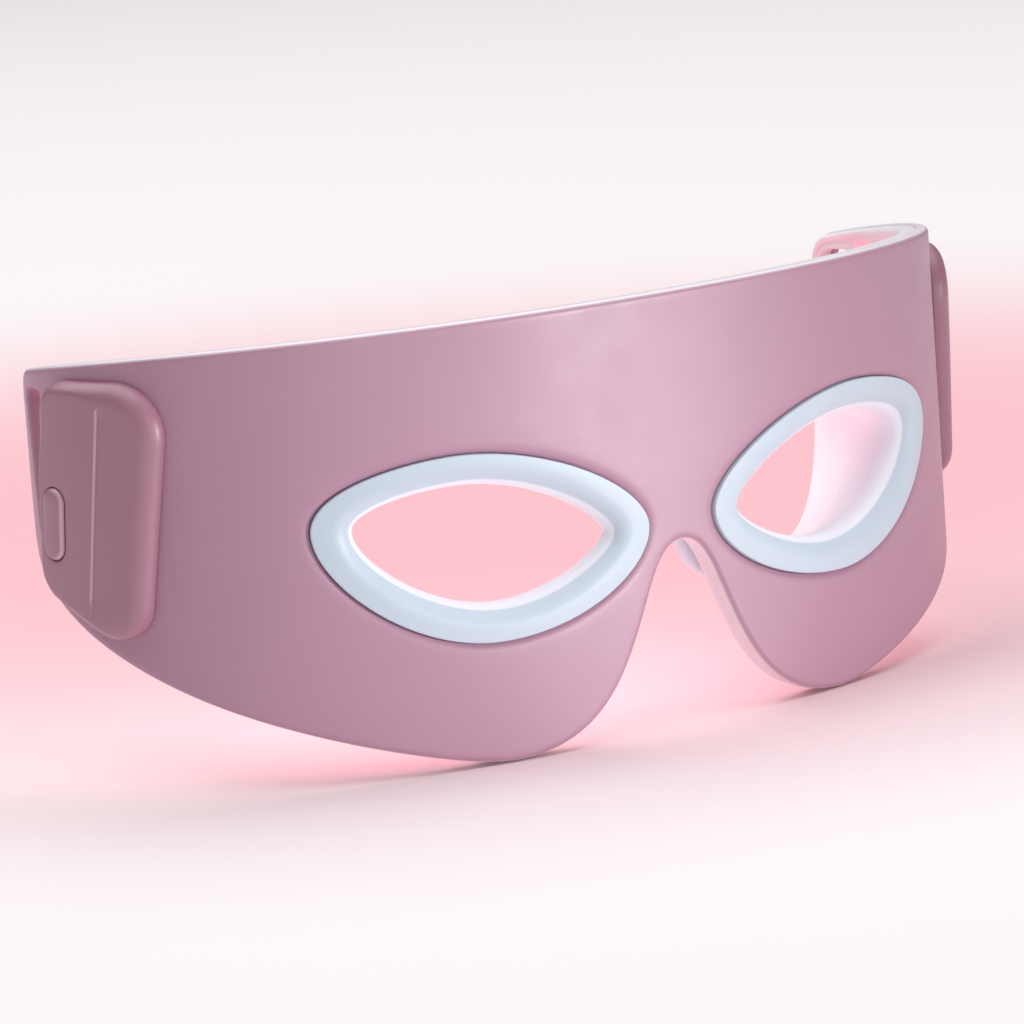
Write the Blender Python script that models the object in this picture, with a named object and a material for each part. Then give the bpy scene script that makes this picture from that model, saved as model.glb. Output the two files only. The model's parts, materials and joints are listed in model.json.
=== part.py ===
"""Wrap-around light eye mask: a soft shell, a liner, two eye shields, LED boards and two side pods.

Most pieces are drawn flat, as a pattern of s (mm along the plan curve from the nose, wearer's left
positive), z (mm above the eye line) and d (mm inward from the outer face), and are then wrapped
onto the plan curve. +Z is up, the mask faces -Y, and the origin is on the inner face at the bridge.
"""

import math

import bmesh
import bpy
import numpy as np
from mathutils import Vector

MM = 0.001

# Plan curve: curvature in 1/mm is CURVE_NOSE + CURVE_SLOPE * s + CURVE_GROWTH * s^2
CURVE_NOSE = 0.0045
CURVE_SLOPE = 2.7e-5
CURVE_GROWTH = 2.6e-6
STRIP = 4.0  # the pattern is cut into flat strips this wide before it is wrapped

# Depths from the outer face
SHELL_THICK = 2.0
GAP = 0.3
LINER_FRONT = SHELL_THICK + GAP
LINER_WALL = 4.2  # front of the liner's thin wall, behind the boards
LINER_BACK = 5.0
LINER_INSET = 0.4  # how far the liner's edge lies inside the shell's
BOARD_FRONT, BOARD_BACK = 2.3, 2.5
TAIL_END = 87.0
TAIL_Z = (4.0, 12.0)
LED_FRONT, LED_BACK = 2.7, 3.7
RIBBON_FRONT, RIBBON_BACK = 2.8, 3.0

# Outline of the mask, right half of the pattern as seen from the front
TOP = 34.0
TOP_DROP = 2.7  # how far the top edge has dropped at s = 100
NOTCH_TOP = -4.2
LOBE_BOTTOM = (32.4, -33.0)
ARM_END = 116.2

# Eye outlines: nose corner, top, outer corner, bottom, each a point with its two handle lengths
EYE_OUTER = (
    ((6.4, -0.9), 6.3, 5.9),
    ((39.1, 14.2), 15.8, 9.2),
    ((61.8, 4.9), 6.4, 7.3),
    ((33.2, -14.6), 14.7, 14.6),
)
EYE_INNER = (
    ((13.4, -1.2), 1.6, 1.9),
    ((38.3, 8.9), 13.2, 8.6),
    ((54.6, 4.4), 2.2, 4.0),
    ((32.0, -8.6), 11.4, 9.6),
)
# Rear edge of an eye shield, drawn in x and z, and how far back it lies at x
REAR_INNER = (
    ((9.6, -1.0), 5.0, 5.0),
    ((35.8, 11.1), 13.0, 10.0),
    ((53.9, 4.7), 4.0, 6.0),
    ((31.4, -11.2), 12.0, 11.0),
)
REAR_OUTER = (
    ((2.6, -1.5), 10.0, 7.0),
    ((38.0, 15.5), 19.0, 12.0),
    ((59.0, 4.5), 7.0, 7.5),
    ((32.0, -15.6), 15.0, 22.0),
)
REAR_START = 1.6
REAR_CURVE = 0.0088
SHIELD_PROUD = 0.3
FLANGE_OUT = 1.0  # the shield's flange reaches this far behind the shell, round the window
EYE_STEPS = 12  # points in each quarter of an eye outline

# Side pods: corners of the outline with their radii
POD_CORNERS = (((80.8, 29.1), 8.0), ((102.8, 29.2), 4.5), ((105.3, -2.3), 6.0), ((87.3, -13.0), 5.5))
POD_CENTRE = (94.0, 8.9)
POD_HEIGHT = 3.2
POD_ROOF = 1.0
POD_SEAT = 0.2
WINDOW_INSET = 1.5
TRAY_INSET = 0.5
TRAY_POCKET = 2.0
TRAY_FLOOR, TRAY_BACK = 3.2, 3.9
PORT_S = 98.2
PORT_SIZE = (8.94, 3.16, 6.9)  # width, thickness and depth of the USB-C socket
PORT_W = -0.12  # height of the socket's middle above the pod's local plane

BUTTON_CENTRE = (100.8, 7.8)
BUTTON_SIZE = (4.2, 11.0)
FLANGE_SHIFT = 0.35  # the button's flange sits this far forward, clear of the cover's rear wall
BUTTON_PROUD = 0.9
BUTTON_LEAN = math.radians(5.0)

SLOT_S = 109.5
SLOT_CORNERS = ((-2.9, 26.9), (3.2, 26.9), (1.2, 4.7), (-3.0, 4.7))
SLOT_RADIUS = 1.4

LEDS_PER_EYE = 10
LED_SIZE = (3.5, 2.8)
LED_RING = 5.0  # distance of the LEDs from the edge of the eye window
FIRST_LED, LAST_LED = 0.115, 0.815  # shares of the way round, from the nose corner over the top


def heading(s):
    size = abs(s)
    turn = CURVE_NOSE * size + CURVE_SLOPE * size**2 / 2 + CURVE_GROWTH * size**3 / 3
    return math.copysign(turn, s)


CURVE_STEPS = np.arange(0.0, 130.25, 0.25)
HEADINGS = np.array([heading(s) for s in CURVE_STEPS])


def integral(values):
    """Running trapezium sum of values along the plan curve."""
    steps = (values[1:] + values[:-1]) / 2 * np.diff(CURVE_STEPS)
    return np.concatenate([[0.0], np.cumsum(steps)])


CURVE_X = integral(np.cos(HEADINGS))
CURVE_Y = integral(np.sin(HEADINGS)) - LINER_BACK


def inward(s):
    return Vector((-math.sin(heading(s)), math.cos(heading(s)), 0.0))


def wrap(s, z, d):
    """The point of the pattern (s, z, d) on the wrapped mask, in mm."""
    x = math.copysign(float(np.interp(abs(s), CURVE_STEPS, CURVE_X)), s)
    y = float(np.interp(abs(s), CURVE_STEPS, CURVE_Y))
    return Vector((x, y, z)) + d * inward(s)


class Local:
    """A flat frame at the pattern's point (s, z): u towards the arm's end, v up, w outward."""

    def __init__(self, side, s, z):
        self.origin = wrap(side * s, z, 0.0)
        self.w = -inward(side * s)
        self.u = side * Vector((-self.w.y, self.w.x, 0.0))

    def point(self, u, v, w):
        return self.origin + u * self.u + v * Vector((0, 0, 1)) + w * self.w


# Outlines


def bezier(start, first, second, end, steps):
    """Points of a cubic from start up to, but not including, end."""
    t = np.arange(steps)[:, None] / steps
    a, b, c, d = (np.array(p, float) for p in (start, first, second, end))
    curve = (1 - t) ** 3 * a + 3 * (1 - t) ** 2 * t * b + 3 * (1 - t) * t**2 * c + t**3 * d
    return [tuple(p) for p in curve]


def almond(corners, steps=EYE_STEPS):
    """An eye outline, clockwise from the nose corner."""
    (nose, nose_down, nose_up), (top, top_in, top_out) = corners[:2]
    (outer, outer_up, outer_down), (low, low_out, low_in) = corners[2:]
    return (
        bezier(nose, (nose[0], nose[1] + nose_up), (top[0] - top_in, top[1]), top, steps)
        + bezier(top, (top[0] + top_out, top[1]), (outer[0], outer[1] + outer_up), outer, steps)
        + bezier(outer, (outer[0], outer[1] - outer_down), (low[0] + low_out, low[1]), low, steps)
        + bezier(low, (low[0] - low_in, low[1]), (nose[0], nose[1] - nose_down), nose, steps)
    )


def reach_of(point, outline):
    """Distance from a point to a closed outline."""
    ends = np.array(outline)
    starts = np.roll(ends, 1, axis=0)
    along = ends - starts
    share = ((np.array(point) - starts) * along).sum(axis=1) / np.maximum((along**2).sum(axis=1), 1e-12)
    nearest = starts + np.clip(share, 0, 1)[:, None] * along
    return float(np.hypot(*(np.array(point) - nearest).T).min())


def inset(points, distance):
    """A closed outline moved inward, without the points that a tight corner would fold over."""
    return [p for p in grown(points, -distance) if reach_of(p, points) > distance * 0.97]


def grown(points, distance):
    """A closed outline moved outward by a distance."""
    count = len(points)
    area = sum(a[0] * b[1] - b[0] * a[1] for a, b in zip(points, points[1:] + points[:1]))
    sign = 1.0 if area > 0 else -1.0
    moved = []
    for i, (x, y) in enumerate(points):
        before, after = points[i - 1], points[(i + 1) % count]
        along = Vector((after[0] - before[0], after[1] - before[1])).normalized() * sign
        moved.append((x + along.y * distance, y - along.x * distance))
    return moved


def rounded(corners, steps=5):
    """A polygon of (point, radius) corners with each corner made an arc."""
    count = len(corners)
    points = []
    for i, (corner, radius) in enumerate(corners):
        here = Vector(corner)
        to_last = (Vector(corners[i - 1][0]) - here).normalized()
        to_next = (Vector(corners[(i + 1) % count][0]) - here).normalized()
        half = to_last.angle(to_next) / 2
        centre = here + (to_last + to_next).normalized() * (radius / math.sin(half))
        start = here + to_last * (radius / math.tan(half)) - centre
        end = here + to_next * (radius / math.tan(half)) - centre
        sweep = start.angle_signed(end)
        for k in range(steps + 1):
            turn = -sweep * k / steps
            points.append(
                (
                    centre.x + start.x * math.cos(turn) - start.y * math.sin(turn),
                    centre.y + start.x * math.sin(turn) + start.y * math.cos(turn),
                )
            )
    return points


def top_edge(s):
    return TOP - TOP_DROP * (s / 100) ** 4


def half_outline():
    """The mask's lower edge from the nose, round the arm's end and back along the top edge."""
    corner = (112.8, top_edge(112.8))
    lower = (
        bezier((0, NOTCH_TOP), (4.2, NOTCH_TOP), (5.9, -9.6), (8.2, -14.6), 7)
        + bezier((8.2, -14.6), (11.9, -22.5), (16.5, LOBE_BOTTOM[1]), LOBE_BOTTOM, 9)
        + bezier(LOBE_BOTTOM, (40.0, LOBE_BOTTOM[1]), (63.3, -26.2), (78.7, -19.6), 8)
        + bezier((78.7, -19.6), (91.8, -14.0), (105.8, -6.0), (113.0, -0.4), 7)
        + bezier((113.0, -0.4), (117.7, 3.2), (ARM_END, 13.3), (ARM_END, 23.7), 7)
        + bezier((ARM_END, 23.7), (ARM_END, 27.2), (115.2, 29.0), corner, 4)
    )
    return lower + [(s, top_edge(s)) for s in np.linspace(corner[0], 0.0, 13)]


def mask_outline():
    right = half_outline()
    left = [(-s, z) for s, z in right[1:-1]]
    return right + left[::-1]


def pod_outline(narrower=0.0):
    return grown(rounded(POD_CORNERS), -narrower)


def pill(width, height, centre, lean, steps=6):
    """A stadium outline leaning by an angle about its centre."""
    radius = width / 2
    points = []
    for start, sign in ((0.0, 1.0), (math.pi, -1.0)):
        for k in range(steps + 1):
            turn = start + math.pi * k / steps
            x = radius * math.cos(turn)
            y = radius * math.sin(turn) + sign * (height / 2 - radius)
            points.append(
                (
                    centre[0] + x * math.cos(lean) + y * math.sin(lean) * -1,
                    centre[1] + x * math.sin(lean) + y * math.cos(lean),
                )
            )
    return points


def mirrored(points, side):
    return [(side * x, y) for x, y in points]


def rectangle(x0, x1, y0, y1):
    return [(x0, y0), (x1, y0), (x1, y1), (x0, y1)]


# Solids, drawn flat as (x, y, level)


def loft(loops):
    """A closed solid through loops of (points, level), capped at its first and last loop."""
    bm = bmesh.new()
    rings = [[bm.verts.new((x, y, level)) for x, y in points] for points, level in loops]
    for low, high in zip(rings, rings[1:]):
        for i in range(len(low)):
            bm.faces.new((low[i - 1], low[i], high[i], high[i - 1]))
    bm.faces.new(rings[0])
    bm.faces.new(rings[-1])
    bmesh.ops.recalc_face_normals(bm, faces=bm.faces)
    return bm


def prism(points, low, high):
    return loft([(points, low), (points, high)])


def face_outward(bm):
    """Turns every face outward; the normals have to be up to date for this to be right."""
    bm.normal_update()
    bmesh.ops.recalc_face_normals(bm, faces=bm.faces)
    if bm.calc_volume(signed=True) < 0:
        bmesh.ops.reverse_faces(bm, faces=bm.faces)


def as_object(bm, name="tool"):
    face_outward(bm)
    mesh = bpy.data.meshes.new(name)
    bm.to_mesh(mesh)
    bm.free()
    made = bpy.data.objects.new(name, mesh)
    bpy.context.scene.collection.objects.link(made)
    return made


def combine(body, tool, operation="DIFFERENCE"):
    """The Boolean of two solids, as a new one."""
    first, second = as_object(body), as_object(tool)
    modifier = first.modifiers.new("cut", "BOOLEAN")
    modifier.operation = operation
    modifier.solver = "EXACT"
    modifier.object = second
    bpy.context.view_layer.update()
    evaluated = first.evaluated_get(bpy.context.evaluated_depsgraph_get())
    bm = bmesh.new()
    bm.from_mesh(evaluated.to_mesh())
    evaluated.to_mesh_clear()
    for used in (first, second):
        mesh = used.data
        bpy.data.objects.remove(used)
        bpy.data.meshes.remove(mesh)
    bmesh.ops.remove_doubles(bm, verts=bm.verts, dist=1e-4)
    return bm


def cut_all(body, tools):
    for tool in tools:
        body = combine(body, tool)
    return body


def wrapped(bm):
    """A flat solid of (s, z, d) cut into strips and wrapped onto the plan curve."""
    reach = max(abs(v.co.x) for v in bm.verts)
    first = -int(reach // STRIP)
    for k in range(first, -first + 1):
        parts = bm.verts[:] + bm.edges[:] + bm.faces[:]
        bmesh.ops.bisect_plane(bm, geom=parts, plane_co=(k * STRIP, 0, 0), plane_no=(1, 0, 0), dist=1e-4)
    bmesh.ops.triangulate(bm, faces=bm.faces)
    for v in bm.verts:
        v.co = wrap(*v.co)
    return bm


def placed(bm, local):
    """A flat solid of (u, v, w) put in a local frame."""
    for v in bm.verts:
        v.co = local.point(*v.co)
    return bm


def turned(bm, centre, angle, along):
    """A solid of (across, along, level) turned so that its y runs along an outline's direction."""
    cos, sin = math.cos(angle), math.sin(angle)
    for v in bm.verts:
        x, y = v.co.x, v.co.y + along
        v.co.x = centre[0] + x * cos - y * sin
        v.co.y = centre[1] + x * sin + y * cos
    return bm


MATERIALS = {}


def material(name, colour, roughness, metallic=0.0):
    if name not in MATERIALS:
        made = bpy.data.materials.new(name)
        made.use_nodes = True
        made.diffuse_color = (*colour, 1.0)
        shader = made.node_tree.nodes["Principled BSDF"]
        shader.inputs["Base Color"].default_value = (*colour, 1.0)
        shader.inputs["Roughness"].default_value = roughness
        shader.inputs["Metallic"].default_value = metallic
        MATERIALS[name] = made
    return MATERIALS[name]


MAUVE = ("mauve_silicone", (0.47, 0.27, 0.34), 0.55)
POD_MAUVE = ("mauve_plastic", (0.50, 0.30, 0.37), 0.4)
WHITE = ("white_silicone", (0.78, 0.82, 0.86), 0.45)
PINK = ("translucent_silicone", (0.90, 0.55, 0.60), 0.4)
FLEX = ("flex_circuit", (0.80, 0.45, 0.12), 0.4)
GREEN = ("green_board", (0.03, 0.22, 0.10), 0.4)
LENS = ("led_lens", (0.95, 0.75, 0.6), 0.2)
BLACK = ("black_package", (0.02, 0.02, 0.02), 0.5)
STEEL = ("bright_steel", (0.7, 0.7, 0.72), 0.25, 1.0)
FOIL = ("cell_foil", (0.62, 0.64, 0.66), 0.35, 0.8)
BRASS = ("tungsten_weight", (0.30, 0.29, 0.28), 0.4, 0.9)


def add(name, bm, look, collection, smooth=True):
    """One named sub-part from a finished solid in mm."""
    for v in bm.verts:
        v.co *= MM
    bmesh.ops.remove_doubles(bm, verts=bm.verts, dist=2e-6)
    face_outward(bm)
    mesh = bpy.data.meshes.new(name)
    bm.to_mesh(mesh)
    bm.free()
    mesh.materials.append(material(*look))
    if smooth:
        mesh.shade_smooth()
        mesh.set_sharp_from_angle(angle=math.radians(35))
    made = bpy.data.objects.new(name, mesh)
    collection.objects.link(made)
    return made


# Shell and liner


def slot_cutter(side, grow=0.0):
    """A strap slot, cut straight through the arm."""
    local = Local(side, SLOT_S, 0.0)
    outline = grown(rounded([(corner, SLOT_RADIUS) for corner in SLOT_CORNERS], steps=3), grow)
    return placed(prism(outline, -9.0, 4.0), local)


def port_frame():
    """The port's mouth on the pod's lower edge, in local u and v, and the angle of that edge."""
    (rear, _), (front, _) = POD_CORNERS[2], POD_CORNERS[3]
    slope = (rear[1] - front[1]) / (rear[0] - front[0])
    mouth_z = front[1] + (PORT_S - front[0]) * slope
    return (PORT_S - POD_CENTRE[0], mouth_z - POD_CENTRE[1]), math.atan(slope)


def port_piece(grow, start, end):
    """A solid with the port's rounded section, grown all round, from start to end behind its mouth."""
    width, thick, _ = PORT_SIZE
    section = pill(thick + 2 * grow, width + 2 * grow, (0.0, PORT_W), math.pi / 2)
    piece = prism(section, start, end)
    for v in piece.verts:
        v.co.y, v.co.z = v.co.z, v.co.y
    mouth, angle = port_frame()
    return turned(piece, mouth, angle, 0.0)


def outer_shell(collection):
    flat = prism(mask_outline(), 0.0, SHELL_THICK)
    for side in (1, -1):
        window = grown(almond(EYE_OUTER), 0.25)
        flat = combine(flat, prism(mirrored(window, side), -1.0, SHELL_THICK + 1.0))
        flat = combine(flat, prism(mirrored(pod_outline(WINDOW_INSET), side), -1.0, SHELL_THICK + 1.0))
    port_relief = placed(port_piece(0.4, -4.0, 2.5), Local(-1, *POD_CENTRE))
    body = cut_all(wrapped(flat), [slot_cutter(1), slot_cutter(-1), port_relief])
    return add("outer_shell", body, MAUVE, collection)


def tail_way(side):
    """Room for the tail of an LED board on its way into a pod."""
    low, high = TAIL_Z
    return prism(rectangle(side * 70.0, side * 92.0, low - 0.5, high + 0.5), 0.0, BOARD_BACK + GAP)


def inner_liner(collection):
    outline = grown(mask_outline(), -LINER_INSET)
    flat = prism(outline, LINER_FRONT, LINER_BACK)
    pocket = combine(
        prism(inset(outline, 2.2), LINER_FRONT - 1.0, LINER_WALL),
        prism(rectangle(-84, 84, -60, 60), 0.0, 10.0),
        "INTERSECT",
    )
    flat = combine(flat, pocket)
    for side in (1, -1):
        recess = mirrored(pod_outline(TRAY_INSET - GAP), side)
        flat = combine(flat, prism(recess, LINER_FRONT - 1.0, LINER_WALL))
        flat = combine(flat, tail_way(side))
        flange_room = mirrored(grown(almond(EYE_OUTER), FLANGE_OUT + GAP), side)
        flat = combine(flat, prism(flange_room, 0.0, LINER_WALL))
        window = mirrored(grown(almond(EYE_INNER), 3.2), side)
        flat = combine(flat, prism(window, 0.0, 10.0))
    body = cut_all(wrapped(flat), [slot_cutter(1, 0.2), slot_cutter(-1, 0.2)])
    return add("inner_liner", body, PINK, collection)


# Eye shields


def rear_y(x):
    """How far back the shield's face edge lies, following the curve of a face."""
    return REAR_START + REAR_CURVE * x * x


def shield_loops(steps=EYE_STEPS):
    """The closed loops of a shield, round its section from the front rim and back, as functions."""
    outer, inner = almond(EYE_OUTER, steps), almond(EYE_INNER, steps)
    rear_in, rear_out = almond(REAR_INNER, steps), almond(REAR_OUTER, steps)

    def front(outline, grow, d):
        return [wrap(s, z, d) for s, z in grown(outline, grow)]

    def rear(outline, grow, back):
        return [Vector((x, rear_y(x) + back, z)) for x, z in grown(outline, grow)]

    def between(first, second, share):
        return [a.lerp(b, share) for a, b in zip(first, second)]

    lip = front(inner, 0.0, 1.8)
    rear_edge = rear(rear_in, 0.0, 0.0)
    step = between(lip, rear_edge, 0.5)
    ledge = between(front(inner, 0.6, 1.8), rear(rear_in, 0.6, 0.0), 0.52)
    neck = front(inner, 2.8, LINER_BACK + GAP)
    skirt = rear(rear_out, -0.4, -0.9)
    return [
        front(outer, 0.0, SHELL_THICK + 0.1),
        front(outer, 0.0, 0.1),
        front(outer, -0.3, -SHIELD_PROUD),
        front(inner, 2.0, -SHIELD_PROUD),
        lip,
        step,
        ledge,
        rear_edge,
        rear(rear_in, 1.4, 0.7),
        rear(rear_out, 0.0, 0.3),
        skirt,
        between(neck, skirt, 0.5),
        neck,
        front(inner, 2.8, 3.6),
        front(outer, FLANGE_OUT, 3.4),
        front(outer, FLANGE_OUT, SHELL_THICK + 0.35),
    ]


def eye_shield(side, name, collection):
    bm = bmesh.new()
    rings = [[bm.verts.new((side * p.x, p.y, p.z)) for p in loop] for loop in shield_loops()]
    for k, ring in enumerate(rings):
        last = rings[k - 1]
        for i in range(len(ring)):
            bm.faces.new((last[i - 1], last[i], ring[i], ring[i - 1]))
    bmesh.ops.recalc_face_normals(bm, faces=bm.faces)
    return add(name, bm, WHITE, collection)


# LED boards


def led_board(side, name, collection):
    inside = prism(inset(mask_outline(), 4.6), BOARD_FRONT, BOARD_BACK)
    half = rectangle(side * 4.6, side * 79.0, -60, 60)
    flat = combine(inside, prism(half, 0.0, 10.0), "INTERSECT")
    flat = combine(flat, prism(mirrored(grown(almond(EYE_OUTER, 6), 1.5), side), 0.0, 10.0))
    tail = prism(rectangle(side * 77.0, side * TAIL_END, *TAIL_Z), BOARD_FRONT, BOARD_BACK)
    flat = combine(flat, tail, "UNION")
    return add(name, wrapped(flat), FLEX, collection)


def led_places():
    """Pattern points of the LEDs round one eye, evenly spaced except over the nose."""
    ring = grown(almond(EYE_OUTER, 24), LED_RING)
    count = len(ring)
    shares = np.linspace(FIRST_LED, LAST_LED, LEDS_PER_EYE)
    lengths = [0.0]
    for i in range(count):
        lengths.append(lengths[-1] + math.dist(ring[i], ring[(i + 1) % count]))
    indexes = [int(np.searchsorted(lengths, share * lengths[-1])) % count for share in shares]
    return [ring[i] for i in indexes]


def led(side, place, name, collection):
    local = Local(side, place[0], place[1])
    width, height = LED_SIZE
    body = prism(rectangle(-width / 2, width / 2, -height / 2, height / 2), -LED_BACK, -LED_FRONT)
    return add(name, placed(body, local), LENS, collection, smooth=False)


# Side pods


def pod_cover(side, name, collection):
    loops = [
        (pod_outline(1.2), -POD_SEAT),
        (pod_outline(0.0), -POD_SEAT),
        (pod_outline(0.1), -1.4),
        (pod_outline(0.9), -2.6),
        (pod_outline(2.3), -POD_HEIGHT),
    ]
    body = loft(loops)
    under_roof = (pod_outline(2.4), POD_ROOF - POD_HEIGHT)
    hollow = loft([(pod_outline(1.2), 1.0), (pod_outline(1.2), -1.5), under_roof])
    body = combine(body, hollow)
    groove = prism(rectangle(-0.5, 0.5, -18.2, 18.0), -POD_HEIGHT - 1.0, -POD_HEIGHT + 0.35)
    body = combine(body, turned(groove, (93.2, 9.3), math.radians(7.2), 0.0))
    if side < 0:
        width, height = BUTTON_SIZE
        hole = pill(width + 0.6, height + 0.6, BUTTON_CENTRE, BUTTON_LEAN)
        body = combine(body, prism(hole, -POD_HEIGHT - 1.0, 0.0))
    for v in body.verts:
        v.co.x *= side
    body = wrapped(body)
    if side < 0:
        body = combine(body, placed(port_piece(0.2, -3.0, 3.0), Local(side, *POD_CENTRE)))
    return add(name, body, POD_MAUVE, collection)


def pod_tray(side, name, collection):
    body = prism(pod_outline(TRAY_INSET), LINER_FRONT, TRAY_BACK)
    body = combine(body, prism(pod_outline(TRAY_POCKET), 0.0, TRAY_FLOOR))
    body = combine(body, tail_way(1))
    for v in body.verts:
        v.co.x *= side
    return add(name, wrapped(body), BLACK, collection)


def cylinder(radius, low, high, segments=24, centre=(0.0, 0.0)):
    turns = [2 * math.pi * k / segments for k in range(segments)]
    rim = [(centre[0] + radius * math.cos(t), centre[1] + radius * math.sin(t)) for t in turns]
    return prism(rim, low, high)


MOTOR_RADIUS = 4.0
MOTOR_LOW, MOTOR_HIGH = -2.3, 0.4
MOTOR_WALL = 0.3
SHAFT_RADIUS = 0.4


def vibration_motor(side, s, z, prefix, collection):
    """A coin motor: cup, base plate, fixed shaft and the eccentric rotor that turns on it."""
    local = Local(side, s, z)
    can = cylinder(MOTOR_RADIUS, MOTOR_LOW, MOTOR_HIGH)
    can = combine(can, cylinder(MOTOR_RADIUS - MOTOR_WALL, MOTOR_LOW - 1, MOTOR_HIGH - MOTOR_WALL))
    add(prefix + "_case", placed(can, local), STEEL, collection)
    base_high = MOTOR_LOW + MOTOR_WALL
    base = cylinder(MOTOR_RADIUS - MOTOR_WALL - 0.15, MOTOR_LOW, base_high)
    add(prefix + "_base", placed(base, local), GREEN, collection)
    shaft = cylinder(SHAFT_RADIUS, base_high + 0.1, MOTOR_HIGH - MOTOR_WALL - 0.1, 12)
    add(prefix + "_shaft", placed(shaft, local), STEEL, collection)
    radius = MOTOR_RADIUS - MOTOR_WALL - 0.5
    arc = [math.radians(-15 + 210 * k / 14) for k in range(15)]
    weight = prism([(radius * math.cos(t), radius * math.sin(t)) for t in arc], -1.6, -0.4)
    hub = cylinder(1.2, -1.6, -0.4, 16)
    rotor = combine(weight, hub, "UNION")
    rotor = combine(rotor, cylinder(SHAFT_RADIUS + 0.15, -3.0, 1.0, 12))
    add(prefix + "_rotor", placed(rotor, local), BRASS, collection)


def box_in(local, low, high):
    """A box between two local corners."""
    return placed(prism(rectangle(low[0], high[0], low[1], high[1]), low[2], high[2]), local)


PCB_LOW, PCB_HIGH = -2.75, -1.95
SWITCH_SIZE = 3.5
SWITCH_LOW, SWITCH_HIGH = -1.85, -0.55
PLUNGER_LOW, PLUNGER_HIGH = -1.35, -0.1
STEM_END = -0.9
BOARD_CHIPS = (
    ("controller_chip", (-5.5, -4.5, -1.85), (-1.5, -0.5, -0.95)),
    ("charger_chip", (-5.0, -9.2, -1.85), (-2.5, -6.7, -1.05)),
    ("boost_inductor", (-0.5, 2.5, -1.85), (2.5, 5.5, -0.65)),
)


def control_pod(side, collection):
    pod_cover(side, "control_pod_cover", collection)
    pod_tray(side, "control_pod_tray", collection)
    local = Local(side, *POD_CENTRE)
    centre_s, centre_z = POD_CENTRE

    board = prism([(s - centre_s, z - centre_z) for s, z in pod_outline(3.0)], PCB_LOW, PCB_HIGH)
    lower = prism(rectangle(-20.0, 20.0, -40.0, 15.5 - centre_z), -9.0, 9.0)
    board = combine(board, lower, "INTERSECT")
    add("control_board", placed(board, local), GREEN, collection, smooth=False)
    for name, low, high in BOARD_CHIPS:
        add(name, box_in(local, low, high), BLACK, collection, smooth=False)

    depth = PORT_SIZE[2]
    wall = 0.35
    mouth, angle = port_frame()
    socket = combine(port_piece(0.0, 0.0, depth), port_piece(-wall, -1.0, depth - 1.0))
    tongue = prism(rectangle(-3.3, 3.3, 1.0, depth - 0.5), PORT_W - 0.35, PORT_W + 0.35)
    socket = combine(socket, turned(tongue, mouth, angle, 0.0), "UNION")
    add("usb_c_socket", placed(socket, local), STEEL, collection, smooth=False)

    button_u, button_v = BUTTON_CENTRE[0] - centre_s, BUTTON_CENTRE[1] - centre_z
    half = SWITCH_SIZE / 2
    frame = rectangle(button_u - half, button_u + half, button_v - half, button_v + half)
    frame = prism(frame, SWITCH_LOW, SWITCH_HIGH)
    frame = combine(frame, cylinder(0.95, -5.0, 5.0, 16, (button_u, button_v)))
    add("button_switch_body", placed(frame, local), BLACK, collection, smooth=False)
    plunger = cylinder(0.75, PLUNGER_LOW, PLUNGER_HIGH, 16, (button_u, button_v))
    add("button_switch_plunger", placed(plunger, local), WHITE, collection)
    power_button(side, collection)
    vibration_motor(side, 90.6, 20.9, "right_vibration_motor", collection)


def power_button(side, collection):
    width, height = BUTTON_SIZE
    roof = POD_ROOF - POD_HEIGHT
    face = -POD_HEIGHT - BUTTON_PROUD

    def outline(grow):
        return pill(width + 2 * grow, height + 2 * grow, BUTTON_CENTRE, BUTTON_LEAN)

    cap = loft([(outline(0.0), roof + 0.5), (outline(0.0), face + 0.4), (outline(-0.5), face)])
    flange_centre = (BUTTON_CENTRE[0] - FLANGE_SHIFT, BUTTON_CENTRE[1])
    flange_outline = pill(width + 2 * FLANGE_SHIFT, height + 1.6, flange_centre, BUTTON_LEAN)
    flange = prism(flange_outline, roof + 0.2, roof + 0.8)
    stem = cylinder(0.9, roof + 0.5, STEM_END, 12, BUTTON_CENTRE)
    body = combine(combine(cap, flange, "UNION"), stem, "UNION")
    for v in body.verts:
        v.co.x *= side
    return add("power_button", wrapped(body), POD_MAUVE, collection)


CELL_CORNERS = ((-7.4, 12.0), (6.6, 12.0), (7.4, -6.0), (-6.6, -6.0))


def battery_pod(side, collection):
    pod_cover(side, "battery_pod_cover", collection)
    pod_tray(side, "battery_pod_tray", collection)
    local = Local(side, *POD_CENTRE)
    cell = rounded([(corner, 1.0) for corner in CELL_CORNERS], steps=2)
    add("battery_cell", placed(prism(cell, -2.8, 0.8), local), FOIL, collection)
    board = box_in(local, (-6.0, 12.8, -1.6), (6.0, 16.4, -0.8))
    add("battery_board", board, GREEN, collection, smooth=False)
    vibration_motor(side, 94.6, -1.6, "left_vibration_motor", collection)


def bridge_ribbon(collection):
    flat = prism(rectangle(-9.0, 9.0, 16.0, 26.0), RIBBON_FRONT, RIBBON_BACK)
    return add("bridge_ribbon", wrapped(flat), FLEX, collection, smooth=False)


def main():
    for old in list(bpy.data.objects):
        bpy.data.objects.remove(old)
    parts = bpy.data.collections.new("eye_mask")
    bpy.context.scene.collection.children.link(parts)
    outer_shell(parts)
    inner_liner(parts)
    for side, word in ((-1, "right"), (1, "left")):
        eye_shield(side, word + "_eye_shield", parts)
        led_board(side, word + "_led_board", parts)
        for k, place in enumerate(led_places(), 1):
            led(side, place, f"{word}_led_{k:02d}", parts)
    bridge_ribbon(parts)
    control_pod(-1, parts)
    battery_pod(1, parts)


main()
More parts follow.
